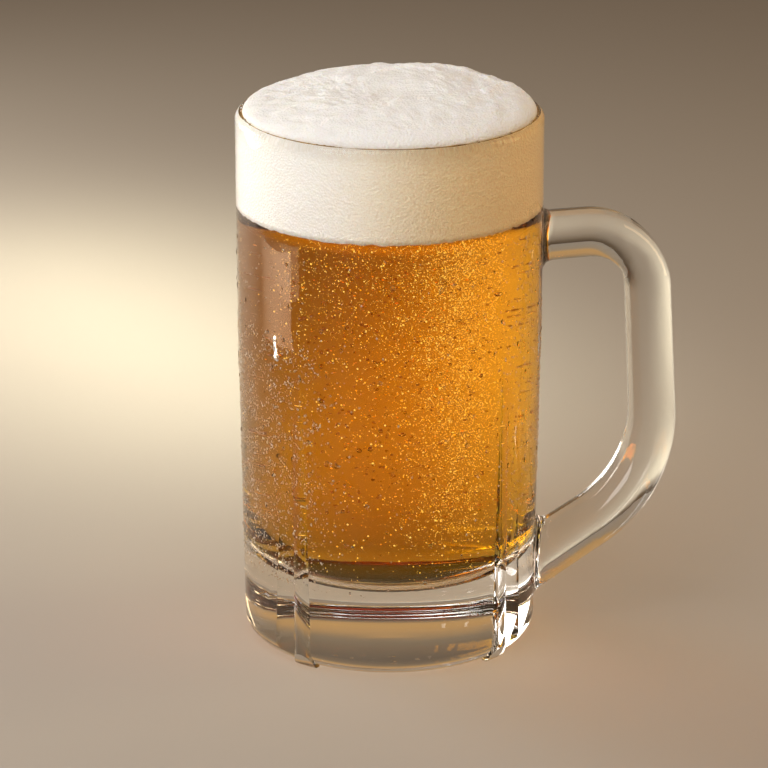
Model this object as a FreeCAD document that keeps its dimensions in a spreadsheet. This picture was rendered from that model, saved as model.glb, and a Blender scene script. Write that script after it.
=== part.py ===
"""A pint of lager in a straight glass mug with a handle, as three solids: mug, beer and foam.

Millimetres. The origin is the centre of the mug's foot, +Z is up, the handle points along +X
and the broad front panel faces -Y.
"""
import FreeCAD, Part
import math
import os
import Sketcher
from FreeCAD import Placement, Rotation, Vector

doc = FreeCAD.newDocument("beer_mug")

# Each driving size, and what it sets. Angles are in degrees.
SIZES = [
    ("glass_height", 153.0, "foot to lip"),
    ("glass_radius", 43.0, "outside of the straight upper wall"),
    ("rim_wall", 3.4, "wall at the lip, which is rounded right over"),
    ("foot_wall", 7.4, "wall where the bore meets the round of its floor"),
    ("base_thick", 22.0, "solid glass under the drink"),
    ("floor_round", 12.0, "round between the bore and its floor"),
    ("heel_round", 5.0, "round at the outside of the foot"),
    ("hollow_radius", 32.0, "shallow hollow under the foot"),
    ("hollow_depth", 1.4, "rise of that hollow at its middle"),
    ("panel_lean", 1.3, "how far the panels lean in at the foot"),
    ("panel_top", 97.0, "height where the panels start to lean in"),
    ("panel_blend", 9.0, "length, each way, over which that bend is softened"),
    ("rib_angle", 42.0, "rib from the middle of the front or back panel"),
    ("rib_round", 3.75, "radius of a rib's section"),
    ("rib_sink", 4.3, "a rib's section from its crown to its back, which lies inside the wall"),
    ("rib_setback", 0.05, "a rib's crown inside the upper wall's radius"),
    ("rib_foot_rise", 4.2, "height of the bevel at a rib's foot"),
    ("rib_foot_run", 2.6, "depth of that bevel"),
    ("flat_turn", 2.3, "flat beside a rib: how far past the rib it faces"),
    ("flat_depth", 1.05, "depth of that flat under the panel at the foot"),
    ("flat_top", 88.0, "height where the flat has run out"),
    ("flat_reach", 16.0, "length of the flat's cut, away from the rib"),
    ("handle_reach", 30.6, "upper wall to the grip's centre line at the upper bend"),
    ("handle_top", 115.4, "centre line of the upper bar where it meets the wall"),
    ("handle_rise", 3.4, "slope of the upper bar"),
    ("handle_lean", 3.3, "outward slope of the grip on its way down"),
    ("handle_foot", 16.8, "centre line of the lower bar where it meets the wall"),
    ("handle_slant", 33.5, "slope of the lower bar"),
    ("upper_bend", 17.0, "centre line's radius at the upper bend"),
    ("lower_bend", 40.0, "centre line's radius at the lower bend"),
    ("grip_thick", 12.6, "grip, measured away from the wall"),
    ("grip_wide", 17.0, "grip, measured along the wall"),
    ("grip_round", 5.2, "round of the grip's corners"),
    ("root_thick", 18.0, "height of the lower bar where it enters the wall"),
    ("root_wide", 18.0, "width of the lower bar there"),
    ("root_round", 7.0, "round of its corners there"),
    ("root_sink", 3.4, "how far the handle's ends lie inside the upper wall's radius"),
    ("root_fillet", 3.2, "fillet where the handle meets the wall"),
    ("beer_level", 126.3, "top of the beer"),
    ("foam_rise", 7.0, "crown of the foam above the lip"),
    ("foam_shoulder", 4.5, "round at the foam's edge"),
    ("foam_edge", 14.0, "where the foam leaves the lip's round, before the lip's top"),
]

sizes = doc.addObject("Spreadsheet::Sheet", "sizes")
for row, (alias, value, meaning) in enumerate(SIZES, start=1):
    sizes.set(f"A{row}", alias)
    sizes.set(f"B{row}", str(value))
    sizes.set(f"C{row}", meaning)
    sizes.setAlias(f"B{row}", alias)
doc.recompute()


def worked(formula):
    """What a formula over the sheet's cells comes to, as a plain number."""
    found = sizes.evalExpression(formula)
    return float(getattr(found, "Value", found))


def plane_of(body, role):
    """The body's own origin plane with this role."""
    return next(item for item in body.Origin.OriginFeatures if item.Role == role)


def new_sketch(body, name, role, placement=None):
    """A sketch on one of the body's origin planes, moved within it by placement."""
    sketch = body.newObject("Sketcher::SketchObject", name)
    sketch.AttachmentSupport = [(plane_of(body, role), "")]
    sketch.MapMode = "FlatFace"
    if placement is not None:
        sketch.AttachmentOffset = placement
    return sketch


def hold(sketch, geometry, point, spot):
    """Hold a point of the sketch at two formulas, its distances across and up."""
    for kind, axis, formula in (("DistanceX", -2, spot[0]), ("DistanceY", -1, spot[1])):
        if formula is None:
            continue
        if formula == "0":
            sketch.addConstraint(Sketcher.Constraint("PointOnObject", geometry, point, axis))
            continue
        value = worked(formula)
        at = sketch.addConstraint(Sketcher.Constraint(kind, -1, 1, geometry, point, value))
        sketch.setExpression(f"Constraints[{at}]", formula)


def outline(sketch, corners, arcs=None):
    """Draw a closed outline. Edge n runs from corner n to the next one.

    Each corner is two formulas. arcs gives the centre and the turning sense, +1 against the
    clock, of the edges that are arcs.
    """
    arcs = arcs or {}
    spots = [Vector(worked(across), worked(up), 0) for across, up in corners]
    first = len(sketch.Geometry)
    count = len(corners)
    ends = []
    for edge, start in enumerate(spots):
        stop = spots[(edge + 1) % count]
        if edge not in arcs:
            sketch.addGeometry(Part.LineSegment(start, stop), False)
            ends.append((1, 2))
            continue
        centre_at, sense = arcs[edge]
        centre = Vector(worked(centre_at[0]), worked(centre_at[1]), 0)
        low, high = (start, stop) if sense > 0 else (stop, start)
        turns = [math.atan2(spot.y - centre.y, spot.x - centre.x) for spot in (low, high)]
        circle = Part.Circle(centre, Vector(0, 0, 1), (start - centre).Length)
        sketch.addGeometry(Part.ArcOfCircle(circle, *turns), False)
        ends.append((1, 2) if sense > 0 else (2, 1))
    for edge in range(count):
        after = (edge + 1) % count
        sketch.addConstraint(
            Sketcher.Constraint("Coincident", first + edge, ends[edge][1], first + after, ends[after][0])
        )
        hold(sketch, first + edge, ends[edge][0], corners[edge])
    for edge, (centre_at, _) in arcs.items():
        # both ends of the arc are held, which leaves its centre one way to move: across the chord
        chord = spots[(edge + 1) % count] - spots[edge]
        steep = abs(chord.y) > abs(chord.x)
        free = (centre_at[0], None) if steep else (None, centre_at[1])
        hold(sketch, first + edge, 3, free)


def turned(body, kind, name, sketch):
    """A full turn of the sketch about the upright axis, added to the body or cut from it."""
    feature = body.newObject(f"PartDesign::{kind}", name)
    feature.Profile = sketch
    feature.ReferenceAxis = (sketch, ["V_Axis"])
    feature.Angle = 360.0
    doc.recompute()
    return feature


LEAST_CHANGE = 10.0  # mm3: a feature that changes less has missed its body


def grown(feature, sign):
    """Refuse a feature that left its body's volume as it was, or changed it the wrong way."""
    change = feature.Shape.Volume - feature.BaseFeature.Shape.Volume
    if sign * change < LEAST_CHANGE:
        raise ValueError(f"{feature.Name} changed its body by {change:.1f} mm3")


# Formulas that more than one outline uses
LIP_ROUND = "(sizes.rim_wall / 2)"
LIP_CENTRE = f"(sizes.glass_radius - {LIP_ROUND})"
LIP_LEVEL = f"(sizes.glass_height - {LIP_ROUND})"
RIM_BORE = "(sizes.glass_radius - sizes.rim_wall)"
FOOT_BORE = "(sizes.glass_radius - sizes.foot_wall)"
FLOOR_EDGE = f"({FOOT_BORE} - sizes.floor_round)"
BORE_START = "(sizes.base_thick + sizes.floor_round)"
BORE_SLOPE = f"(({RIM_BORE} - {FOOT_BORE}) / ({LIP_LEVEL} - {BORE_START}))"
BEER_BORE = f"({FOOT_BORE} + {BORE_SLOPE} * (sizes.beer_level - {BORE_START}))"
FOOT_RADIUS = "(sizes.glass_radius - sizes.panel_lean)"
PANEL_ANGLE = "atan(sizes.panel_lean / (sizes.panel_top - sizes.heel_round))"
BEND_TOP = "(sizes.panel_top + sizes.panel_blend)"


# --- mug: straight upper wall, leaning panels, four ribs and the handle, all one glass ---

mug = doc.addObject("PartDesign::Body", "mug")
mug.Label = "mug"

wall_outline = new_sketch(mug, "wall_outline", "XZ_Plane")
outline(
    wall_outline,
    [
        ("0", "sizes.hollow_depth"),
        ("sizes.hollow_radius", "0"),
        (f"{FOOT_RADIUS} - sizes.heel_round", "0"),
        (FOOT_RADIUS, "sizes.heel_round"),
        (
            f"sizes.glass_radius - sizes.panel_blend * sin({PANEL_ANGLE})",
            f"sizes.panel_top - sizes.panel_blend * cos({PANEL_ANGLE})",
        ),
        ("sizes.glass_radius", BEND_TOP),
        ("sizes.glass_radius", LIP_LEVEL),
        (RIM_BORE, LIP_LEVEL),
        (FOOT_BORE, BORE_START),
        (FLOOR_EDGE, "sizes.base_thick"),
        ("0", "sizes.base_thick"),
    ],
    {
        0: (("0", "(sizes.hollow_depth ^ 2 - sizes.hollow_radius ^ 2) / (2 * sizes.hollow_depth)"), -1),
        2: ((f"{FOOT_RADIUS} - sizes.heel_round", "sizes.heel_round"), 1),
        4: ((f"sizes.glass_radius - sizes.panel_blend / tan({PANEL_ANGLE} / 2)", BEND_TOP), 1),
        6: ((LIP_CENTRE, LIP_LEVEL), 1),
        8: ((FLOOR_EDGE, BORE_START), -1),
    },
)
turned(mug, "Revolution", "wall", wall_outline)

# Four mirrored places: in front of and behind the middle, to the handle's side and away from it
QUARTERS = [(across, deep) for across in (1, -1) for deep in (-1, 1)]


def facing(quarter, bearing, out, along):
    """The two formulas of a point in a quarter: out along a bearing from the front or back, then aside."""
    across, deep = quarter
    return (
        f"{across} * ({out} * sin({bearing}) + {along} * cos({bearing}))",
        f"{deep} * ({out} * cos({bearing}) - {along} * sin({bearing}))",
    )


# a flat on each rib's side-panel flank, deepest at the foot and running out upwards
flat_outline = new_sketch(mug, "flat_outline", "XY_Plane")
FLAT_FACES = "(sizes.rib_angle + sizes.flat_turn)"
FLAT_NEAR = f"({FOOT_RADIUS} - sizes.flat_depth)"
FLAT_FAR = "(sizes.glass_radius + sizes.rib_round)"
FLAT_START = f"(-{FLAT_NEAR} * tan(sizes.flat_turn))"
FLAT_CORNERS = [
    (FLAT_NEAR, FLAT_START),
    (FLAT_FAR, FLAT_START),
    (FLAT_FAR, "sizes.flat_reach"),
    (FLAT_NEAR, "sizes.flat_reach"),
]
for quarter in QUARTERS:
    outline(flat_outline, [facing(quarter, FLAT_FACES, out, along) for out, along in FLAT_CORNERS])
flats = mug.newObject("PartDesign::Pocket", "flats")
flats.Profile = flat_outline
flats.Reversed = True
flats.setExpression("Length", "sizes.panel_top")
flats.setExpression("TaperAngle", "-atan((sizes.panel_lean + sizes.flat_depth) / sizes.flat_top)")
doc.recompute()
grown(flats, -1)

# the ribs are upright rods sunk in the wall, which the leaning panels leave standing out; each
# rod has a flat back that stays clear of the bore
rib_outline = new_sketch(mug, "rib_outline", "XY_Plane")
RIB_CROWN = "(sizes.glass_radius - sizes.rib_setback)"
RIB_BACK = f"({RIB_CROWN} - sizes.rib_sink)"
RIB_HALF = "sqrt(sizes.rib_round ^ 2 - (sizes.rib_sink - sizes.rib_round) ^ 2)"
for quarter in QUARTERS:
    centre = facing(quarter, "sizes.rib_angle", f"({RIB_CROWN} - sizes.rib_round)", "0")
    back = [facing(quarter, "sizes.rib_angle", RIB_BACK, half) for half in (f"-{RIB_HALF}", RIB_HALF)]
    outline(rib_outline, back, {0: (centre, -quarter[0] * quarter[1])})
ribs = mug.newObject("PartDesign::Pad", "ribs")
ribs.Profile = rib_outline
ribs.setExpression("Length", "sizes.panel_top")
doc.recompute()
grown(ribs, 1)

# a bevel under each rib, clear of the panels' own round heel
bevel_outline = new_sketch(mug, "bevel_outline", "XZ_Plane")
BEVEL_SLOPE = "(sizes.rib_foot_rise / sizes.rib_foot_run)"
outline(
    bevel_outline,
    [
        (f"{RIB_CROWN} - sizes.rib_foot_run", "0"),
        (FLAT_FAR, "0"),
        (FLAT_FAR, f"sizes.rib_foot_rise + {BEVEL_SLOPE} * ({FLAT_FAR} - {RIB_CROWN})"),
    ],
)
rib_feet = turned(mug, "Groove", "rib_feet", bevel_outline)
grown(rib_feet, -1)

# the handle's centre line: bar, bend, grip, bend, bar, each tangent to the next
spine = new_sketch(mug, "handle_line", "XZ_Plane")
root_x = worked("sizes.glass_radius - sizes.root_sink")
rise, lean, slant = (
    math.radians(worked(f"sizes.{name}")) for name in ("handle_rise", "handle_lean", "handle_slant")
)
along_bar = Vector(math.cos(rise), math.sin(rise), 0)
along_grip = Vector(math.sin(lean), -math.cos(lean), 0)
along_foot = Vector(-math.cos(slant), -math.sin(slant), 0)
head = Vector(root_x, worked("sizes.handle_top"), 0)
foot = Vector(root_x, worked("sizes.handle_foot"), 0)


def inside(direction):
    """The side on which the handle's bends have their centres: a right turn from its run."""
    return Vector(direction.y, -direction.x, 0)


upper_bend = worked("sizes.upper_bend")
lower_bend = worked("sizes.lower_bend")
upper_x = worked("sizes.glass_radius + sizes.handle_reach - sizes.upper_bend")
bar_length = (upper_x - head.x - upper_bend * inside(along_bar).x) / along_bar.x
bar_end = head + along_bar * bar_length
upper_centre = bar_end + inside(along_bar) * upper_bend
grip_start = upper_centre - inside(along_grip) * upper_bend
# the lower bend's centre lies one radius inside the grip's line and one inside the lower bar's
gap = foot - grip_start + (inside(along_foot) - inside(along_grip)) * lower_bend
cross = along_grip.x * along_foot.y - along_grip.y * along_foot.x
grip_end = grip_start + along_grip * ((gap.x * along_foot.y - gap.y * along_foot.x) / cross)
lower_centre = grip_end + inside(along_grip) * lower_bend
foot_start = lower_centre - inside(along_foot) * lower_bend


def bend(centre, radius, start, stop):
    """A clockwise arc about the centre; its first drawn end is the later one on the run."""
    turns = [math.atan2(spot.y - centre.y, spot.x - centre.x) for spot in (stop, start)]
    return Part.ArcOfCircle(Part.Circle(centre, Vector(0, 0, 1), radius), *turns)


spine.addGeometry(
    [
        Part.LineSegment(head, bar_end),
        bend(upper_centre, upper_bend, bar_end, grip_start),
        Part.LineSegment(grip_start, grip_end),
        bend(lower_centre, lower_bend, grip_end, foot_start),
        Part.LineSegment(foot_start, foot),
    ],
    False,
)
for one, end, other, start in ((0, 2, 1, 2), (1, 1, 2, 1), (2, 2, 3, 2), (3, 1, 4, 1)):
    spine.addConstraint(Sketcher.Constraint("Tangent", one, end, other, start))
ROOT_X = "sizes.glass_radius - sizes.root_sink"
hold(spine, 0, 1, (ROOT_X, "sizes.handle_top"))
hold(spine, 4, 2, (ROOT_X, "sizes.handle_foot"))
hold(spine, 1, 3, ("sizes.glass_radius + sizes.handle_reach - sizes.upper_bend", None))
for kind, edge, value, formula in (
    ("Radius", 1, upper_bend, "sizes.upper_bend"),
    ("Radius", 3, lower_bend, "sizes.lower_bend"),
    ("Angle", 0, rise, "sizes.handle_rise * 1 deg"),
    ("Angle", 2, lean - math.pi / 2, "(sizes.handle_lean - 90) * 1 deg"),
    ("Angle", 4, slant - math.pi, "(sizes.handle_slant - 180) * 1 deg"),
):
    held = spine.addConstraint(Sketcher.Constraint(kind, edge, value))
    spine.setExpression(f"Constraints[{held}]", formula)


def section(name, role, placement, across, up, corner):
    """A rounded rectangle about the sketch's own origin, which lies on the handle's line."""
    sketch = new_sketch(mug, name, role, placement)
    full = [(f"{across} / 2", f"{up} / 2 - {corner}"), (f"{across} / 2 - {corner}", f"{up} / 2")]
    middle = (f"{across} / 2 - {corner}", f"{up} / 2 - {corner}")
    corners = []
    arcs = {}
    for turn, (right, top) in enumerate(((1, 1), (-1, 1), (-1, -1), (1, -1))):
        # going round against the clock, every other corner meets its two ends the other way round
        ends = full if right == top else full[::-1]
        corners += [(f"{right} * ({x})", f"{top} * ({y})") for x, y in ends]
        arcs[2 * turn] = ((f"{right} * ({middle[0]})", f"{top} * ({middle[1]})"), 1)
    outline(sketch, corners, arcs)
    return sketch


head_section = section(
    "head_section",
    "YZ_Plane",
    Placement(Vector(0, head.y, head.x), Rotation()),
    "sizes.grip_wide",
    "sizes.grip_thick",
    "sizes.grip_round",
)
# each later section is turned so that its own up still points out of the handle's bends
grip_section = section(
    "grip_section",
    "XY_Plane",
    Placement(
        Vector(grip_end.x, 0, grip_end.y),
        Rotation(Vector(0, 1, 0), -math.degrees(lean)) * Rotation(Vector(1, 1, 0), 180),
    ),
    "sizes.grip_wide",
    "sizes.grip_thick",
    "sizes.grip_round",
)
foot_section = section(
    "foot_section",
    "YZ_Plane",
    Placement(Vector(0, foot.y, foot.x), Rotation(Vector(1, 0, 0), 180)),
    "sizes.root_wide",
    "sizes.root_thick",
    "sizes.root_round",
)
handle = mug.newObject("PartDesign::AdditivePipe", "handle")
handle.Profile = head_section
handle.Spine = (spine, [f"Edge{edge + 1}" for edge in range(5)])
handle.Sections = [(grip_section, [""]), (foot_section, [""])]
handle.Transformation = "Multisection"
doc.recompute()
grown(handle, 1)


def wall_radius(level):
    """Outside radius of the upper wall or of a leaning panel at this height."""
    below = max(0.0, worked("sizes.panel_top") - level)
    return worked("sizes.glass_radius") - below * math.tan(math.radians(worked(PANEL_ANGLE)))


ON_WALL = 0.1  # how near the wall all of a root's edge lies
OFF_SEAM = 1.0  # how far from the handle's middle plane it reaches, unlike the wall's own seam


def is_root(edge):
    """Whether the edge runs round a root of the handle, on the outside of the wall."""
    if edge.Degenerated:
        return False
    spots = edge.discretize(7)
    reach = max(abs(spot.y) for spot in spots)
    off_wall = max(abs(math.hypot(spot.x, spot.y) - wall_radius(spot.z)) for spot in spots)
    handle_side = min(spot.x for spot in spots) > worked("sizes.root_wide")
    return handle_side and OFF_SEAM < reach < worked("sizes.root_wide") and off_wall < ON_WALL


roots = [f"Edge{index}" for index, edge in enumerate(handle.Shape.Edges, start=1) if is_root(edge)]
root_fillets = mug.newObject("PartDesign::Fillet", "root_fillets")
root_fillets.Base = (handle, roots)
root_fillets.setExpression("Radius", "sizes.root_fillet")
doc.recompute()
grown(root_fillets, 1)


# --- beer: fills the bore up to the level shown ---

beer = doc.addObject("PartDesign::Body", "beer")
beer.Label = "beer"
beer_outline = new_sketch(beer, "beer_outline", "XZ_Plane")
outline(
    beer_outline,
    [
        ("0", "sizes.base_thick"),
        (FLOOR_EDGE, "sizes.base_thick"),
        (FOOT_BORE, BORE_START),
        (BEER_BORE, "sizes.beer_level"),
        ("0", "sizes.beer_level"),
    ],
    {1: ((FLOOR_EDGE, BORE_START), 1)},
)
turned(beer, "Revolution", "drink", beer_outline)


# --- foam: from the beer to the lip, then a low dome with a round shoulder ---

foam = doc.addObject("PartDesign::Body", "foam")
foam.Label = "foam"
foam_outline = new_sketch(foam, "foam_outline", "XZ_Plane")
EDGE_X = f"({LIP_CENTRE} - {LIP_ROUND} * sin(sizes.foam_edge))"
EDGE_Z = f"({LIP_LEVEL} + {LIP_ROUND} * cos(sizes.foam_edge))"
CROWN_Z = "(sizes.glass_height + sizes.foam_rise)"
SHOULDER_X = f"({EDGE_X} - sizes.foam_shoulder)"
DOME_RISE = f"({CROWN_Z} - {EDGE_Z})"
DOME_ROUND = (
    f"(({SHOULDER_X} ^ 2 + {DOME_RISE} ^ 2 - sizes.foam_shoulder ^ 2)"
    f" / (2 * ({DOME_RISE} - sizes.foam_shoulder)))"
)
DOME_CENTRE = f"({CROWN_Z} - {DOME_ROUND})"
SHOULDER_SHARE = f"(sizes.foam_shoulder / ({DOME_ROUND} - sizes.foam_shoulder))"
outline(
    foam_outline,
    [
        ("0", "sizes.beer_level"),
        (BEER_BORE, "sizes.beer_level"),
        (RIM_BORE, LIP_LEVEL),
        (EDGE_X, EDGE_Z),
        (
            f"{SHOULDER_X} * (1 + {SHOULDER_SHARE})",
            f"{EDGE_Z} + ({EDGE_Z} - {DOME_CENTRE}) * {SHOULDER_SHARE}",
        ),
        ("0", CROWN_Z),
    ],
    {
        2: ((LIP_CENTRE, LIP_LEVEL), -1),
        3: ((SHOULDER_X, EDGE_Z), 1),
        4: (("0", DOME_CENTRE), 1),
    },
)
turned(foam, "Revolution", "head", foam_outline)


# --- check every object, then write one STEP file for each piece ---

doc.recompute()
for item in doc.Objects:
    if {"Invalid", "Error"} & set(item.State):
        raise ValueError(f"{item.Name} failed: {item.State}")
os.makedirs("parts", exist_ok=True)
for body in (mug, beer, foam):
    shape = body.Shape
    if shape.isNull() or not shape.isValid() or len(shape.Solids) != 1:
        raise ValueError(f"{body.Label} is not one valid solid")
    shape.exportStep(f"parts/{body.Label}.step")
    print(f"{body.Label}: {shape.Volume / 1000:.1f} ml")
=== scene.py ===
"""A glass mug of lager with a head of foam: materials, bubbles, dew, light and camera."""

import math

import bpy
import numpy as np
from mathutils.bvhtree import BVHTree
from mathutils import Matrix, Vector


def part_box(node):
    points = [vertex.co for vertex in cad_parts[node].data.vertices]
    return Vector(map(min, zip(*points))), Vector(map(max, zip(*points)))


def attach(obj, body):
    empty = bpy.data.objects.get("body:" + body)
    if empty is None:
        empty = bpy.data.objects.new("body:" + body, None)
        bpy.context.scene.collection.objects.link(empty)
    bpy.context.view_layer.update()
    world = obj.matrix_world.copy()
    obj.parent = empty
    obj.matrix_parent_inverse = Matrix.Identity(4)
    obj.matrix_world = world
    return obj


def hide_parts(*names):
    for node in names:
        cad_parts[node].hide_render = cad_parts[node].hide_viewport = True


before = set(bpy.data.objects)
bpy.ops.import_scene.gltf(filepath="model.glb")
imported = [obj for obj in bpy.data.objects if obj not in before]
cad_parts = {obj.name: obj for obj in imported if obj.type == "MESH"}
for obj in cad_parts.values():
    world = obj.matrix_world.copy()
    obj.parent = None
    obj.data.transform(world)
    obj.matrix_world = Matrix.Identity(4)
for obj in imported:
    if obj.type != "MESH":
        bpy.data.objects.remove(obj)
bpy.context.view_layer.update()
dice = np.random.default_rng(568)

MM = 0.001
TURN = 2 * math.pi

# ---------------------------------------------------------------- sizes read from the frame
mug_low, mug_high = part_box("mug")
beer_low, beer_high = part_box("beer")
foam_low, foam_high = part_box("foam")

LIP_TOP = mug_high.z
RIM_RADIUS = -mug_low.x
WALL_AT_RIM = 3.4 * MM
LIP_ROUND = WALL_AT_RIM / 2
LIP_LEVEL = LIP_TOP - LIP_ROUND
BORE_AT_RIM = RIM_RADIUS - WALL_AT_RIM
BORE_AT_FOOT = RIM_RADIUS - 7.4 * MM
FLOOR_ROUND = 12 * MM
FLOOR_LEVEL = beer_low.z
BORE_START = FLOOR_LEVEL + FLOOR_ROUND
BEER_LEVEL = beer_high.z
FOAM_TOP = foam_high.z
INTO_WALL = 0.15 * MM
PANEL_LEAN = 1.3 * MM
PANEL_TOP = 97 * MM
AROUND_MM = RIM_RADIUS / MM
# the head's folds and the bubbles are laid out about this bearing, not about the front panel's
VIEW_BEARING = math.radians(6)


def bore(z):
    """Radius of the mug's bore at height z: a straight taper above the floor's round corner."""
    share = (z - BORE_START) / (LIP_LEVEL - BORE_START)
    return BORE_AT_FOOT + (BORE_AT_RIM - BORE_AT_FOOT) * share


# ---------------------------------------------------------------- making meshes
def mesh_piece(name, points, faces, material, smooth=True):
    """An object at the origin from an array of points and an array of faces of equal length."""
    points = np.asarray(points, np.float32).reshape(-1, 3)
    faces = np.asarray(faces, np.int32)
    mesh = bpy.data.meshes.new(name)
    mesh.vertices.add(len(points))
    mesh.vertices.foreach_set("co", points.ravel())
    mesh.loops.add(faces.size)
    mesh.loops.foreach_set("vertex_index", faces.ravel())
    mesh.polygons.add(len(faces))
    sides = faces.shape[1]
    mesh.polygons.foreach_set("loop_start", np.arange(0, faces.size, sides, dtype=np.int32))
    mesh.polygons.foreach_set("loop_total", np.full(len(faces), sides, np.int32))
    mesh.polygons.foreach_set("use_smooth", np.full(len(faces), smooth))
    mesh.update(calc_edges=True)
    mesh.validate()
    mesh.materials.append(material)
    piece = bpy.data.objects.new(name, mesh)
    bpy.context.scene.collection.objects.link(piece)
    return piece


def ring_faces(rows, around, first=0):
    """Quads between rows of points that each go once around, closed where a row meets itself."""
    row = np.arange(rows - 1)[:, None] * around
    here = np.arange(around)[None, :]
    after = (here + 1) % around
    quads = np.stack([row + here, row + after, row + around + after, row + around + here], axis=-1)
    return quads.reshape(-1, 4) + first


def capped(points, faces, low_pole, high_pole, around):
    """Close a ringed surface's first and last row with a fan to one pole each, as triangles."""
    count = len(points)
    points = np.vstack([points, low_pole, high_pole])
    here = np.arange(around)
    after = (here + 1) % around
    last = count - around
    triangles = np.vstack(
        [
            faces[:, [0, 1, 2]],
            faces[:, [0, 2, 3]],
            np.stack([after, here, np.full(around, count)], axis=-1),
            np.stack([last + here, last + after, np.full(around, count + 1)], axis=-1),
        ]
    )
    return points, triangles


# ---------------------------------------------------------------- materials
def new_material(name):
    """A node material with a Principled shader, and handles to its tree, shader and output."""
    material = bpy.data.materials.new(name)
    material.use_nodes = True
    tree = material.node_tree
    shader = next(n for n in tree.nodes if n.type == "BSDF_PRINCIPLED")
    output = next(n for n in tree.nodes if n.type == "OUTPUT_MATERIAL")
    return material, tree, shader, output


def noise(tree, scale, detail=2.0, rough=0.5, stretch=(1, 1, 1)):
    """Noise on the piece's own place, scale in cells a metre, stretched along the axes."""
    place = tree.nodes.new("ShaderNodeTexCoord")
    mapping = tree.nodes.new("ShaderNodeMapping")
    mapping.inputs["Scale"].default_value = stretch
    tree.links.new(place.outputs["Object"], mapping.inputs["Vector"])
    node = tree.nodes.new("ShaderNodeTexNoise")
    node.inputs["Scale"].default_value = scale
    node.inputs["Detail"].default_value = detail
    node.inputs["Roughness"].default_value = rough
    tree.links.new(mapping.outputs["Vector"], node.inputs["Vector"])
    return node.outputs["Fac"]


def bump(tree, height, strength, distance, under=None):
    """A bump from a height, over the bump under it."""
    node = tree.nodes.new("ShaderNodeBump")
    node.inputs["Strength"].default_value = strength
    node.inputs["Distance"].default_value = distance
    tree.links.new(height, node.inputs["Height"])
    if under is not None:
        tree.links.new(under, node.inputs["Normal"])
    return node.outputs["Normal"]


def ramp(tree, value, stops):
    """Colours along a value, from stops of (place, (r, g, b))."""
    node = tree.nodes.new("ShaderNodeValToRGB")
    while len(node.color_ramp.elements) < len(stops):
        node.color_ramp.elements.new(0.5)
    for element, (place, colour) in zip(node.color_ramp.elements, stops):
        element.position = place
        element.color = (*colour, 1)
    tree.links.new(value, node.inputs["Fac"])
    return node.outputs["Color"]


def lamps_pass(tree, shader, output, colour):
    """Lets lamp light through the clear shader unbent, so that what the glass holds is lit."""
    path = tree.nodes.new("ShaderNodeLightPath")
    clear = tree.nodes.new("ShaderNodeBsdfTransparent")
    clear.inputs["Color"].default_value = colour
    mix = tree.nodes.new("ShaderNodeMixShader")
    tree.links.new(path.outputs["Is Shadow Ray"], mix.inputs[0])
    tree.links.new(shader.outputs["BSDF"], mix.inputs[1])
    tree.links.new(clear.outputs["BSDF"], mix.inputs[2])
    tree.links.new(mix.outputs["Shader"], output.inputs["Surface"])


def beer_material():
    """Clear golden lager: water's bend of light, with colour from its depth."""
    material, tree, shader, output = new_material("lager")
    shader.inputs["Base Color"].default_value = (1, 1, 1, 1)
    shader.inputs["Roughness"].default_value = 0.0
    shader.inputs["IOR"].default_value = 1.34
    shader.inputs["Transmission Weight"].default_value = 1.0
    shader.inputs["Specular Tint"].default_value = (0.05, 0.05, 0.05, 1)
    depth = tree.nodes.new("ShaderNodeVolumeAbsorption")
    depth.inputs["Color"].default_value = (0.962, 0.815, 0.015, 1)
    depth.inputs["Density"].default_value = 104.0
    tree.links.new(depth.outputs["Volume"], output.inputs["Volume"])
    lamps_pass(tree, shader, output, (0.95, 0.95, 0.95, 1))
    return material


def share_along(tree, axis, start, end):
    """0 to 1 as the piece's own place goes from start to end along an axis, eased at both ends."""
    place = tree.nodes.new("ShaderNodeTexCoord")
    split = tree.nodes.new("ShaderNodeSeparateXYZ")
    tree.links.new(place.outputs["Object"], split.inputs[0])
    node = tree.nodes.new("ShaderNodeMapRange")
    node.interpolation_type = "SMOOTHSTEP"
    node.inputs["From Min"].default_value = start
    node.inputs["From Max"].default_value = end
    tree.links.new(split.outputs[axis], node.inputs["Value"])
    return node.outputs["Result"]


def blended(tree, share, first, second):
    """A mix of two colours, each a colour or a socket, by a share."""
    node = tree.nodes.new("ShaderNodeMix")
    node.data_type = "RGBA"
    # the mix node names its sockets alike for every kind, so its colours go by number
    for socket, colour in ((node.inputs[6], first), (node.inputs[7], second)):
        if isinstance(colour, tuple):
            socket.default_value = (*colour, 1)
        else:
            tree.links.new(colour, socket)
    tree.links.new(share, node.inputs[0])
    return node.outputs[2]


def glass_material():
    """Thick pressed glass with faint long waves, its head-on glare low before the drink."""
    material, tree, shader, output = new_material("pressed_glass")
    shader.inputs["Base Color"].default_value = (0.985, 0.995, 0.988, 1)
    shader.inputs["Roughness"].default_value = 0.0
    shader.inputs["IOR"].default_value = 1.52
    shader.inputs["Transmission Weight"].default_value = 1.0
    wall = share_along(tree, "Z", FLOOR_LEVEL - 2 * MM, FLOOR_LEVEL + 6 * MM)
    body = share_along(tree, "X", RIM_RADIUS + 3 * MM, RIM_RADIUS)
    both = tree.nodes.new("ShaderNodeMath")
    both.operation = "MULTIPLY"
    tree.links.new(wall, both.inputs[0])
    tree.links.new(body, both.inputs[1])
    glare = blended(tree, both.outputs[0], (1.0, 1.0, 1.0), (0.30, 0.30, 0.30))
    tree.links.new(glare, shader.inputs["Specular Tint"])
    waves = noise(tree, 60, detail=1.0, stretch=(1, 1, 0.35))
    tree.links.new(bump(tree, waves, 0.12, 0.4 * MM), shader.inputs["Normal"])
    lamps_pass(tree, shader, output, (0.88, 0.88, 0.88, 1))
    return material


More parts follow.
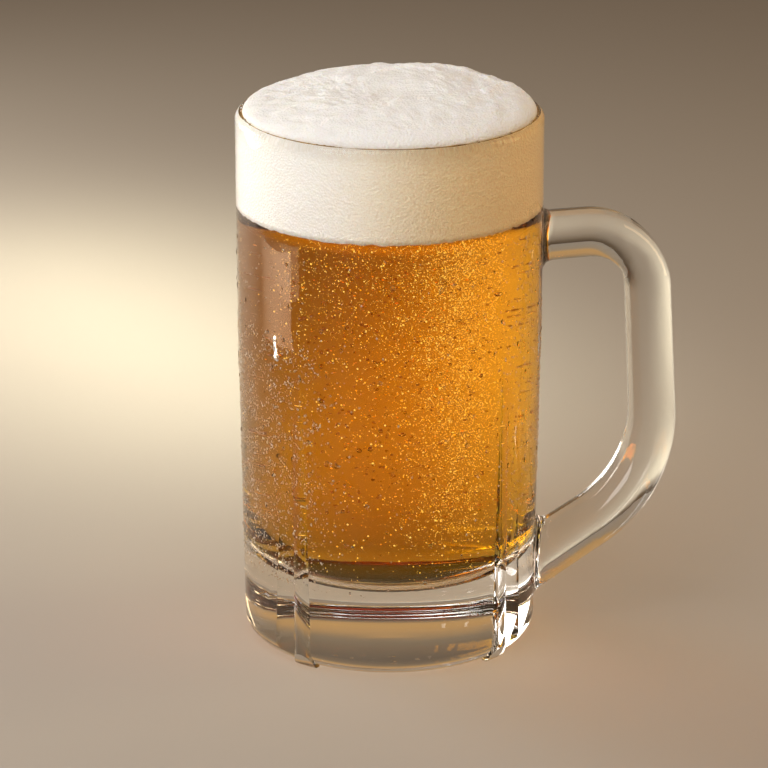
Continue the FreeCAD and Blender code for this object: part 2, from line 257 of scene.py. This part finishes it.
def foam_material():
    """Dense head of fine bubbles: matt and white on top, creamy where it wets the glass, with
    painted warm shade that turns the side tan towards +X.
    """
    material, tree, shader, _ = new_material("beer_head")
    cells = tree.nodes.new("ShaderNodeTexVoronoi")
    cells.inputs["Scale"].default_value = 1500
    place = tree.nodes.new("ShaderNodeTexCoord")
    tree.links.new(place.outputs["Object"], cells.inputs["Vector"])
    tone = noise(tree, 2300, detail=3.0, rough=0.6)
    white = ramp(tree, tone, [(0.3, (0.93, 0.91, 0.87)), (0.6, (0.995, 0.99, 0.975))])
    cool = ramp(tree, tone, [(0.34, (0.93, 0.90, 0.84)), (0.62, (0.995, 0.985, 0.96))])
    # painted shade: the side's cream turns to a darker tan towards +X, the side the light falls on
    # least
    warm = ramp(tree, tone, [(0.34, (0.93, 0.66, 0.36)), (0.62, (1.0, 0.82, 0.52))])
    side = blended(tree, share_along(tree, "X", -0.028, 0.018), cool, warm)
    above = share_along(tree, "Z", LIP_TOP - 2.5 * MM, LIP_TOP + 2 * MM)
    colour = blended(tree, above, side, white)
    tree.links.new(colour, shader.inputs["Base Color"])
    shader.inputs["Roughness"].default_value = 0.6
    shader.inputs["Subsurface Weight"].default_value = 0.3
    shader.inputs["Subsurface Radius"].default_value = (1.0, 0.8, 0.55)
    shader.inputs["Subsurface Scale"].default_value = 1.2 * MM
    fine = bump(tree, noise(tree, 2600, detail=2.0), 0.3, 0.12 * MM)
    pores = bump(tree, cells.outputs["Distance"], 0.7, 0.3 * MM, fine)
    tree.links.new(pores, shader.inputs["Normal"])
    return material


def water_material():
    """Water beads: clear, bending light less than the glass does."""
    material, tree, shader, _ = new_material("dew_water")
    shader.inputs["Base Color"].default_value = (1, 1, 1, 1)
    shader.inputs["Roughness"].default_value = 0.0
    shader.inputs["IOR"].default_value = 1.33
    shader.inputs["Specular Tint"].default_value = (0.45, 0.45, 0.45, 1)
    shader.inputs["Transmission Weight"].default_value = 1.0
    ripple = noise(tree, 900, detail=1.0)
    tree.links.new(bump(tree, ripple, 0.15, 0.1 * MM), shader.inputs["Normal"])
    return material


def froth_material():
    """Fine gas bubbles, too small to see through: golden, glossy specks.

    A faint glow of their own stands in for the lamp light that real bubbles gather.
    """
    material, tree, shader, _ = new_material("fine_gas")
    tone = noise(tree, 700, detail=1.0)
    colour = ramp(tree, tone, [(0.35, (0.90, 0.60, 0.12)), (0.65, (1.0, 0.84, 0.36))])
    tree.links.new(colour, shader.inputs["Base Color"])
    shader.inputs["Roughness"].default_value = 0.12
    shader.inputs["IOR"].default_value = 1.45
    shader.inputs["Transmission Weight"].default_value = 0.2
    shader.inputs["Emission Color"].default_value = (1.0, 0.70, 0.15, 1)
    shader.inputs["Emission Strength"].default_value = 0.35
    return material


def mist_material():
    """Fine dew: beads too small to see through, clear with a pale scatter."""
    material, tree, shader, _ = new_material("dew_mist")
    tone = noise(tree, 500, detail=1.0)
    colour = ramp(tree, tone, [(0.35, (0.78, 0.58, 0.34)), (0.65, (1.0, 0.96, 0.88))])
    tree.links.new(colour, shader.inputs["Base Color"])
    shader.inputs["Roughness"].default_value = 0.08
    shader.inputs["IOR"].default_value = 1.33
    shader.inputs["Transmission Weight"].default_value = 0.6
    return material


def gas_material():
    """Gas in beer: a clear hollow that bends light the other way, so its edge shines."""
    material = bpy.data.materials.new("beer_gas")
    material.use_nodes = True
    tree = material.node_tree
    tree.nodes.remove(next(n for n in tree.nodes if n.type == "BSDF_PRINCIPLED"))
    output = next(n for n in tree.nodes if n.type == "OUTPUT_MATERIAL")
    shader = tree.nodes.new("ShaderNodeBsdfGlass")
    shader.inputs["Color"].default_value = (1.0, 0.93, 0.70, 1)
    shader.inputs["Roughness"].default_value = 0.0
    shader.inputs["IOR"].default_value = 0.746
    tree.links.new(shader.outputs["BSDF"], output.inputs["Surface"])
    return material


def film_material():
    """Thin line of beer left between the head and the lip: dark gold where it is deep."""
    material, tree, shader, _ = new_material("lip_film")
    tone = noise(tree, 350, detail=2.0)
    colour = ramp(tree, tone, [(0.35, (0.30, 0.14, 0.02)), (0.65, (0.80, 0.52, 0.14))])
    tree.links.new(colour, shader.inputs["Base Color"])
    shader.inputs["Roughness"].default_value = 0.12
    shader.inputs["IOR"].default_value = 1.34
    shader.inputs["Transmission Weight"].default_value = 0.6
    return material


GLASS = glass_material()
LAGER = beer_material()
HEAD = foam_material()
WATER = water_material()
GAS = gas_material()
FROTH = froth_material()
MIST = mist_material()
FILM = film_material()

# ---------------------------------------------------------------- the mug keeps its own mesh
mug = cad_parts["mug"]
mug.data.materials.clear()
mug.data.materials.append(GLASS)


# ---------------------------------------------------------------- the beer
def build_beer():
    """Turned body: flat floor, round corner, tapering side that reaches into the wall, flat top."""
    around = 192
    corner = np.linspace(0, math.pi / 2, 14)
    edge = BORE_AT_FOOT - FLOOR_ROUND
    reach = FLOOR_ROUND + INTO_WALL
    floor_r = np.array([0.25, 0.5, 0.75]) * edge
    side_z = np.linspace(BORE_START, BEER_LEVEL + 0.5 * MM, 24)[1:]
    radii = np.concatenate([floor_r, edge + reach * np.sin(corner), bore(side_z) + INTO_WALL])
    levels = np.concatenate(
        [np.full(3, FLOOR_LEVEL - INTO_WALL), BORE_START - reach * np.cos(corner), side_z]
    )
    top_r = np.array([0.9, 0.6, 0.3]) * radii[-1]
    radii = np.concatenate([radii, top_r])
    levels = np.concatenate([levels, np.full(3, levels[-1])])
    angle = np.arange(around) / around * TURN
    points = np.stack(
        [
            radii[:, None] * np.cos(angle),
            radii[:, None] * np.sin(angle),
            np.repeat(levels[:, None], around, axis=1),
        ],
        axis=-1,
    ).reshape(-1, 3)
    faces = ring_faces(len(radii), around)
    points, faces = capped(points, faces, [0, 0, levels[0]], [0, 0, levels[-1]], around)
    piece = mesh_piece("beer_fill", points, faces, LAGER)
    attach(piece, "root")
    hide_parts("beer")


build_beer()


# ---------------------------------------------------------------- the foam
def waves(x, y, length, count, seed):
    """Soft uneven relief from -1 to 1: a sum of sine waves in seeded directions and phases."""
    own = np.random.default_rng(seed)
    total = np.zeros_like(x)
    for _ in range(count):
        way, phase = own.uniform(0, TURN, 2)
        step = TURN / (length * own.uniform(0.7, 1.5))
        total += np.sin(step * (x * math.cos(way) + y * math.sin(way)) + phase)
    return total / math.sqrt(count * 2)


def fold(x, y, start, end, bow, width):
    """A soft step across a bowed line that fades at its ends: 0 before the line, 1 just past it."""
    along = np.array(end) - np.array(start)
    length = math.hypot(*along)
    way = along / length
    u = ((x - start[0]) * way[0] + (y - start[1]) * way[1]) / length
    v = -(x - start[0]) * way[1] + (y - start[1]) * way[0] - bow * 4 * u * (1 - u)
    ends = np.clip(np.minimum(u + 0.15, 1.15 - u) / 0.3, 0, 1)
    ends = ends * ends * (3 - 2 * ends)
    return ends * np.exp(-np.maximum(v, 0) / (6 * width)) / (1 + np.exp(-v / width * 2))


def head_relief(x, y, share):
    """Height added to the head's dome, in mm from mm: lean, hollow, folds and small waves."""
    side = x * math.cos(VIEW_BEARING) - y * math.sin(VIEW_BEARING)
    deep = x * math.sin(VIEW_BEARING) + y * math.cos(VIEW_BEARING)
    inner = 1 - share**10
    low = np.clip((-side - 8) / 26, 0, 1)
    height = -1.0 * low * low * (3 - 2 * low)
    height += 0.55 * np.exp(-(((side - 9) / 14) ** 2) - ((deep - 4) / 22) ** 2)
    height -= 1.0 * np.exp(-(((side + 3) / 17) ** 2) - ((deep + 1) / 6) ** 2)
    bend = side + 2.2 * waves(side, deep, 26, 4, 3)
    sway = deep + 2.2 * waves(side, deep, 24, 4, 4)
    height -= 1.7 * fold(bend, sway, (-9, -17), (32, 9), -4.0, 1.3)
    height += 1.0 * fold(bend, sway, (-4, 14), (14, 17), 4.0, 0.7)
    height -= 0.9 * fold(bend, sway, (-30, -2), (-9, 9), 3.0, 1.2)
    height += 0.8 * fold(bend, sway, (6, 25), (24, 18), 2.0, 0.8)
    folds = waves(side * 0.4 + deep * 0.25, deep * 1.2 - side * 0.9, 5.5, 5, 7)
    right = np.clip((side - 17) / 14, 0, 1)
    height += 0.38 * right * folds
    left = np.clip((-side - 4) / 18, 0, 1)
    streaks = waves(side * 0.5 - deep * 0.5, deep + side * 1.1, 7, 5, 9)
    height += 0.26 * left * streaks
    height += 0.22 * waves(bend, sway, 9, 7, 5) + 0.09 * waves(bend, sway, 3.2, 9, 6)
    return height * inner * 1.5


def build_foam():
    """Turned body: flat bottom, a side that reaches into the wall, over the lip, then a dome.

    The dome is a superellipse, steep at its shoulder and flat on its crown.
    """
    around = 384
    angle = np.arange(around) / around * TURN
    into = INTO_WALL + 0.1 * MM
    side_z = np.linspace(BEER_LEVEL, LIP_LEVEL, 22)
    base_r = np.array([0.5, 0.9]) * bore(BEER_LEVEL)
    lip_turn = np.linspace(0, math.radians(76), 8)[1:]
    lip_reach = LIP_ROUND - into
    lip_centre = RIM_RADIUS - LIP_ROUND
    radii = np.concatenate([base_r, bore(side_z) + into, lip_centre - lip_reach * np.cos(lip_turn)])
    levels = np.concatenate(
        [np.full(2, BEER_LEVEL), side_z, LIP_LEVEL + lip_reach * np.sin(lip_turn)]
    )
    wall_rows = len(radii)
    edge_r, edge_z = radii[-1], levels[-1]
    share = 1 - np.linspace(0, 1, 132)[1:-1] ** 1.35
    rise = FOAM_TOP - LIP_TOP
    shoulder, crown = 3.8, 2.23
    dome = edge_z + (0.96 * rise + LIP_TOP - edge_z) * (1 - share**shoulder) ** (1 / crown)
    radii = np.concatenate([radii, share * edge_r])
    levels = np.concatenate([levels, dome])
    x = radii[:, None] * np.cos(angle)
    y = radii[:, None] * np.sin(angle)
    z = np.repeat(levels[:, None], around, axis=1)
    ragged = 0.22 * waves(AROUND_MM * np.cos(angle), AROUND_MM * np.sin(angle), 3.0, 8, 11) - 0.25
    z[2] += ragged * MM
    z[wall_rows:] += MM * head_relief(x[wall_rows:] / MM, y[wall_rows:] / MM, share[:, None])
    points = np.stack([x, y, z], axis=-1).reshape(-1, 3)
    faces = ring_faces(len(radii), around)
    peak = [0, 0, float(z[-1].mean())]
    points, faces = capped(points, faces, [0, 0, levels[0]], peak, around)
    piece = mesh_piece("foam_head", points, faces, HEAD)
    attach(piece, "root")
    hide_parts("foam")


build_foam()


# ---------------------------------------------------------------- beads, bubbles and runs
def scatter(name, centres, axes, sizes, around, rows, material):
    """Many small round bodies: one unit ball of few faces, scaled on three axes at each centre."""
    tilt = np.linspace(0, math.pi, rows + 2)[1:-1]
    turn = np.arange(around) / around * TURN
    ball = np.stack(
        [
            np.sin(tilt)[:, None] * np.cos(turn),
            np.sin(tilt)[:, None] * np.sin(turn),
            np.repeat(-np.cos(tilt)[:, None], around, axis=1),
        ],
        axis=-1,
    ).reshape(-1, 3)
    faces = ring_faces(rows, around)
    ball, faces = capped(ball, faces, [0, 0, -1], [0, 0, 1], around)
    own = np.einsum("bk,nk,nkj->nbj", ball, sizes, axes)
    points = (centres[:, None, :] + own).reshape(-1, 3)
    step = (np.arange(len(centres)) * len(ball))[:, None, None]
    piece = mesh_piece(name, points, (faces[None] + step).reshape(-1, 3), material)
    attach(piece, "root")


def outer_radius(z):
    """Radius of the mug's round outside: upright above the panels, leaning in towards the foot."""
    foot = RIM_RADIUS - PANEL_LEAN
    heel = 5 * MM
    share = np.clip((z - heel) / (PANEL_TOP - heel), 0, 1)
    return foot + (RIM_RADIUS - foot) * share


def outward(bearing):
    """The level direction out of the mug at a bearing, which turns from the front to the left."""
    return np.stack([-np.sin(bearing), -np.cos(bearing), np.zeros_like(bearing)], axis=-1)


def alike(size):
    """One half width for all three axes of each body."""
    return np.repeat(size[:, None], 3, axis=1)


def wall_frame(bearing, z, radius):
    """Places on a round wall and their three axes (along, up, out)."""
    out = outward(bearing)
    up = np.zeros_like(out)
    up[:, 2] = 1
    along = np.cross(up, out)
    centres = out * radius[:, None]
    centres[:, 2] = z
    return centres, np.stack([along, up, out], axis=1)


mug_surface = BVHTree.FromObject(mug, bpy.context.evaluated_depsgraph_get())


def settled(bearing, z, sunk):
    """Places on the mug's real outside, met inwards from each bearing and height, with axes."""
    out = outward(bearing)
    start = out * (RIM_RADIUS + 7 * MM)
    start[:, 2] = z
    reach = 20 * MM
    hits = [mug_surface.ray_cast(Vector(p), Vector(-d), reach) for p, d in zip(start, out)]
    hits = [hit for hit in hits if hit[0] is not None]
    spots = np.array([hit[0] for hit in hits])
    normals = np.array([hit[1] for hit in hits])
    level = np.tile([0.0, 0.0, 1.0], (len(spots), 1))
    along = np.cross(level, normals)
    along /= np.linalg.norm(along, axis=1, keepdims=True)
    up = np.cross(normals, along)
    return spots - normals * sunk, np.stack([along, up, normals], axis=1)


def off_handle(bearing, z):
    """True where a place on the wall is away from the handle's roots."""
    from_handle = np.degrees(np.arccos(np.clip(-np.sin(bearing), -1, 1)))
    lower_root = z < 47 * MM
    upper_root = (z > 100 * MM) & (z < 132 * MM)
    return ~((from_handle < 18) & (lower_root | upper_root))


def build_dew():
    """Fine dew in drifts: dense low on the side away from the handle, thinner elsewhere."""
    count = 34000
    bearing = dice.uniform(-math.pi, math.pi, count)
    z = dice.uniform(24, 124, count) * MM
    side = np.degrees(bearing)
    left = 0.95 * np.exp(-(((side - 62) / 30) ** 4)) * np.clip((101 - z / MM) / 8, 0.10, 1)
    right = 0.5 * np.exp(-(((side + 66) / 22) ** 4))
    back = 0.30 * (np.cos(bearing) < -0.2)
    drift = 0.5 + 0.5 * waves(bearing * AROUND_MM, z / MM, 9, 8, 21)
    keep = dice.uniform(0, 1, count) < (0.02 + left + right + back) * np.clip(0.3 + drift, 0, 1)
    keep &= off_handle(bearing, z)
    bearing, z = bearing[keep][:7900], z[keep][:7900]
    centres, axes = settled(bearing, z, 0.02 * MM)
    size = 0.13 + 0.24 * dice.uniform(0, 1, len(centres)) ** 2.0
    sizes = np.stack([size, size * dice.uniform(1, 1.3, len(size)), size * 0.55], axis=-1) * MM
    scatter("dew_fine", centres, axes, sizes, 6, 2, MIST)


def build_beads():
    """Larger beads of dew, round or hanging a little."""
    count = 520
    bearing = dice.uniform(-math.pi, math.pi, count)
    z = dice.uniform(25, 120, count) * MM
    chance = 0.12 + 0.7 * np.abs(np.sin(bearing))
    keep = off_handle(bearing, z) & (dice.uniform(0, 1, count) < chance)
    centres, axes = settled(bearing[keep], z[keep], 0.02 * MM)
    size = 0.3 + 0.35 * dice.uniform(0, 1, len(centres)) ** 3
    sizes = np.stack([size, size * dice.uniform(1, 1.5, len(size)), size * 0.5], axis=-1) * MM
    scatter("dew_beads", centres, axes, sizes, 10, 5, WATER)


def off_sides(bearing):
    """Keeps bubbles to the front and the middle back: the wall stretches those to each side."""
    side = np.degrees(np.arccos(np.clip(np.cos(bearing - VIEW_BEARING), -1, 1)))
    front = 1 - np.clip((side - 46) / 10, 0, 1)
    back = 0.6 * np.clip((side - 158) / 8, 0, 1)
    return 0.04 + 0.96 * np.maximum(front, back)


def build_bubbles():
    """Fine gas bubbles: most near the wall, thick under the head and towards the handle's side."""
    count = 9000
    bearing = dice.uniform(-math.pi, math.pi, count)
    z = dice.uniform(26, 125.4, count) * MM
    height = (z / MM - 26) / 100
    right = np.exp(-(((np.degrees(bearing) + 25) / 38) ** 2))
    thick = (0.12 + 0.55 * height**2 + 0.5 * right * (0.4 + height)) * off_sides(bearing)
    keep = dice.uniform(0, 1, count) < thick
    bearing, z = bearing[keep][:3300], z[keep][:3300]
    near_wall = dice.uniform(0, 1, len(z)) < 0.72
    inset = np.where(near_wall, dice.uniform(0.45, 3, len(z)), dice.uniform(3, 30, len(z)))
    size = (0.10 + 0.20 * dice.uniform(0, 1, len(z)) ** 2.5) * MM
    floor_gap = np.clip((z - FLOOR_LEVEL) / FLOOR_ROUND, 0, 1)
    corner = FLOOR_ROUND * (1 - np.sqrt(1 - (1 - floor_gap) ** 2))
    radius = np.maximum(bore(np.maximum(z, BORE_START)) - corner - inset * MM, 1 * MM)
    centres, axes = wall_frame(bearing, z, radius)
    scatter("bubbles_fine", centres, axes, alike(size), 6, 4, FROTH)


def build_tiny_bubbles():
    """The finest gas: a haze of specks, thickest just under the head and on the handle's side."""
    count = 40000
    bearing = dice.uniform(-math.pi, math.pi, count)
    height = dice.uniform(0, 1, count)
    right = np.exp(-(((np.degrees(bearing) + 22) / 34) ** 2))
    drift = waves(bearing * 40, height * 100, 11, 8, 41)
    thick = 0.05 + 0.75 * height**3 + 0.4 * right * (0.3 + height) + 0.12 * drift
    thick *= off_sides(bearing)
    keep = dice.uniform(0, 1, count) < thick
    bearing, height = bearing[keep][:8600], height[keep][:8600]
    z = (34 + 91.6 * height) * MM
    near_wall = dice.uniform(0, 1, len(z)) < 0.8
    inset = np.where(near_wall, dice.uniform(0.3, 2.5, len(z)), dice.uniform(2.5, 25, len(z)))
    size = (0.07 + 0.09 * dice.uniform(0, 1, len(z)) ** 2) * MM
    centres, axes = wall_frame(bearing, z, bore(z) - inset * MM)
    scatter("bubbles_tiny", centres, axes, alike(size), 5, 2, FROTH)


def build_haze():
    """A drift of the finest gas that rises on the handle's side of the front."""
    count = 7600
    bearing = np.radians(dice.normal(-24, 13, count))
    height = dice.uniform(0, 1, count) ** 0.75
    z = (36 + 88 * height) * MM
    size = (0.07 + 0.10 * dice.uniform(0, 1, count) ** 2) * MM
    centres, axes = wall_frame(bearing, z, bore(z) - dice.uniform(0.3, 4, count) * MM)
    scatter("bubbles_haze", centres, axes, alike(size), 5, 2, FROTH)


def build_big_bubbles():
    """Rising gas bubbles large enough to show as rings."""
    tries = 190
    bearing = dice.uniform(-math.pi, math.pi, tries)
    bearing = bearing[dice.uniform(0, 1, tries) < off_sides(bearing)]
    count = len(bearing)
    z = dice.uniform(34, 118, count) * MM
    size = (0.32 + 0.42 * dice.uniform(0, 1, count) ** 2) * MM
    centres, axes = wall_frame(bearing, z, bore(z) - dice.uniform(1.1, 5, count) * MM)
    scatter("bubbles_large", centres, axes, alike(size), 16, 9, GAS)


def build_rim_bubbles():
    """A chain of bubbles between the head and the lip, in groups around it."""
    count = 150
    bearing = dice.uniform(-math.pi, math.pi, count)
    lobes = np.cos(bearing * 2 - 0.3) * np.cos(bearing * 3 + 0.8)
    side = np.degrees(bearing)
    near = np.exp(-(((side + 68) / 16) ** 2)) + 0.6 * np.exp(-(((side - 62) / 16) ** 2))
    bearing = bearing[dice.uniform(0, 1, count) < 0.12 + 0.3 * (lobes < -0.2) + near]
    size = dice.uniform(0.28, 0.62, len(bearing)) * MM
    z = np.full(len(bearing), LIP_TOP - 0.15 * MM) + 0.2 * size
    radius = RIM_RADIUS - 2.05 * MM + dice.uniform(-0.2, 0.2, len(z)) * MM
    centres, axes = wall_frame(bearing, z, radius)
    scatter("bubbles_rim", centres, axes, alike(size), 12, 7, WATER)


def build_lip_film():
    """A thin ring of beer along the head's edge: a small round section whose size wanders."""
    around, section = 360, 10
    angle = np.arange(around) / around * TURN
    turn = np.arange(section) / section * TURN
    uneven = waves(AROUND_MM * np.cos(angle), AROUND_MM * np.sin(angle), 12, 6, 31)
    thick = (0.26 + 0.14 * uneven) * MM
    thick = np.clip(thick, 0.08 * MM, 0.5 * MM)
    radius = (RIM_RADIUS - 2.02 * MM) + thick[:, None] * np.cos(turn)
    z = LIP_TOP - 0.05 * MM + 0.7 * thick[:, None] * np.sin(turn)
    points = np.stack(
        [radius * np.cos(angle)[:, None], radius * np.sin(angle)[:, None], z], axis=-1
    ).reshape(-1, 3)
    here = np.arange(around)[:, None] * section + np.arange(section)[None, :]
    side = np.arange(around)[:, None] * section + (np.arange(section)[None, :] + 1) % section
    after = np.roll(here, -1, axis=0)
    after_side = np.roll(side, -1, axis=0)
    faces = np.stack([here, after, after_side, side], axis=-1).reshape(-1, 4)
    piece = mesh_piece("lip_film", points, faces, FILM)
    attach(piece, "root")


def build_runs():
    """Runs of water down the wall: a narrow trail over a swollen drop, sunk in the glass.

    Each run is a bearing in degrees, its top, its bottom and its drop's half width in mm.
    """
    rows, across = 40, 16
    points, faces = [], []
    places = [(53, 97, 89.5, 1.5), (-71, 112, 84, 1.2), (118, 101, 70, 1.5), (196, 118, 92, 1.4)]
    for bearing, top, bottom, width in places:
        s = np.linspace(0, 1, rows)
        z = (top + (bottom - top) * s) * MM
        drop = np.exp(-(((s - 0.86) / 0.11) ** 2))
        ends = np.sqrt(np.clip(1 - ((s - 0.5) / 0.5) ** 8, 0, 1))
        half = width * MM * (0.42 + 0.58 * drop + 0.06 * np.sin(9 * s + bearing)) * ends + 1e-6
        high = MM * (0.02 * width + 0.26 * drop) * ends
        turn = np.arange(across) / across * TURN
        offset = half[:, None] * np.cos(turn)
        proud = high[:, None] * np.where(np.sin(turn) > 0, np.sin(turn) ** 2, 0.1 * np.sin(turn))
        sway = 0.4 * MM * np.sin(5 * s)[:, None]
        around_wall = math.radians(bearing) + (offset + sway) / RIM_RADIUS
        radius = outer_radius(z)[:, None] + proud - 0.01 * MM
        rows_points = np.stack(
            [
                -radius * np.sin(around_wall),
                -radius * np.cos(around_wall),
                np.repeat(z[:, None], across, axis=1),
            ],
            axis=-1,
        ).reshape(-1, 3)
        own = ring_faces(rows, across)
        first_pole = rows_points[:across].mean(axis=0)
        last_pole = rows_points[-across:].mean(axis=0)
        rows_points, own = capped(rows_points, own, first_pole, last_pole, across)
        faces.append(own + sum(len(p) for p in points))
        points.append(rows_points)
    piece = mesh_piece("water_runs", np.vstack(points), np.vstack(faces), WATER)
    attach(piece, "root")


build_dew()
build_beads()
build_bubbles()
build_tiny_bubbles()
build_haze()
build_big_bubbles()
build_rim_bubbles()
build_lip_film()
build_runs()


# ---------------------------------------------------------------- floor, light and camera
def build_stage():
    """A pale matt floor, wide enough for every view."""
    material, _, shader, _ = new_material("studio_floor")
    shader.inputs["Base Color"].default_value = (0.50, 0.445, 0.38, 1)
    shader.inputs["Roughness"].default_value = 0.7
    half = 6.0
    corners = [(-half, -half, 0), (half, -half, 0), (half, half, 0), (-half, half, 0)]
    piece = mesh_piece("floor", corners, [[0, 1, 2, 3]], material, smooth=False)
    piece.location.z = -0.02 * MM


def area_light(name, place, aim, size, watts, colour):
    """A soft light of the given width and height at a place, facing a point, itself unseen."""
    lamp = bpy.data.lights.new(name, "AREA")
    lamp.shape = "RECTANGLE"
    lamp.size, lamp.size_y = size
    lamp.energy = watts
    lamp.color = colour
    holder = bpy.data.objects.new(name, lamp)
    bpy.context.scene.collection.objects.link(holder)
    way = Vector(aim) - Vector(place)
    holder.location = place
    holder.rotation_euler = way.to_track_quat("-Z", "Y").to_euler()
    holder.visible_camera = False
    return holder


build_stage()
area_light("key_back_left", (-0.50, 0.46, 0.27), (0, 0.1, 0.08), (0.3, 0.3), 2.5, (1.0, 0.95, 0.86))
area_light("low_back_left", (-0.42, 0.30, 0.09), (0, 0, 0.05), (0.45, 0.16), 0.4, (1.0, 0.97, 0.92))
pool = area_light(
    "pool_behind", (-0.060, 0.272, 0.17), (-0.060, 0.272, 0), (0.05, 0.26), 0.205, (1.0, 0.99, 0.80)
)
pool.rotation_euler = (0, 0, math.radians(21))
pool.data.spread = math.radians(100)
pool.visible_transmission = False
pool.visible_glossy = False
card = area_light(
    "left_card", (-0.188, 0.015, 0.057), (0, 0.015, 0.057), (0.118, 0.034), 0.020, (1.0, 0.74, 0.52)
)
card.data.spread = math.radians(66)
area_light("front_left", (-0.85, -0.95, 0.36), (0, 0, 0.12), (0.6, 0.5), 4.6, (1.0, 0.98, 0.96))
area_light("strip_right", (0.75, 0.05, 0.40), (0.03, 0, 0.10), (0.25, 0.8), 2.1, (1.0, 0.72, 0.42))
area_light("top", (-0.12, -0.12, 0.52), (0, 0, 0.16), (0.3, 0.3), 1.08, (1.0, 0.99, 0.98))


def soft_room():
    """Light from all round: warm low down, with a golden band above the horizon, dim overhead."""
    world = bpy.data.worlds.new("studio")
    bpy.context.scene.world = world
    world.use_nodes = True
    tree = world.node_tree
    sky = next(n for n in tree.nodes if n.type == "BACKGROUND")
    place = tree.nodes.new("ShaderNodeTexCoord")
    split = tree.nodes.new("ShaderNodeSeparateXYZ")
    tree.links.new(place.outputs["Generated"], split.inputs[0])
    stops = [
        (0.0, (0.56, 0.45, 0.34)),
        (0.19, (0.62, 0.46, 0.30)),
        (0.25, (1.00, 0.56, 0.20)),
        (0.33, (0.92, 0.52, 0.20)),
        (0.42, (0.46, 0.32, 0.19)),
        (0.60, (0.26, 0.19, 0.13)),
        (0.85, (0.08, 0.08, 0.09)),
    ]
    band = ramp(tree, split.outputs["Z"], stops)
    tree.links.new(band, sky.inputs["Color"])
    sky.inputs["Strength"].default_value = 0.48


soft_room()
bpy.context.scene.view_settings.view_transform = "Standard"
bpy.context.scene.view_settings.look = "None"

lens = bpy.data.cameras.new("camera")
lens.sensor_width = 36
lens.lens = 174.3
lens.clip_start = 0.01
lens.clip_end = 50
camera = bpy.data.objects.new("camera", lens)
bpy.context.scene.collection.objects.link(camera)
camera.location = (-0.10453, -0.99452, 0.41649)
camera.rotation_euler = (math.radians(71.034), 0, math.radians(-5.910))
bpy.context.scene.camera = camera
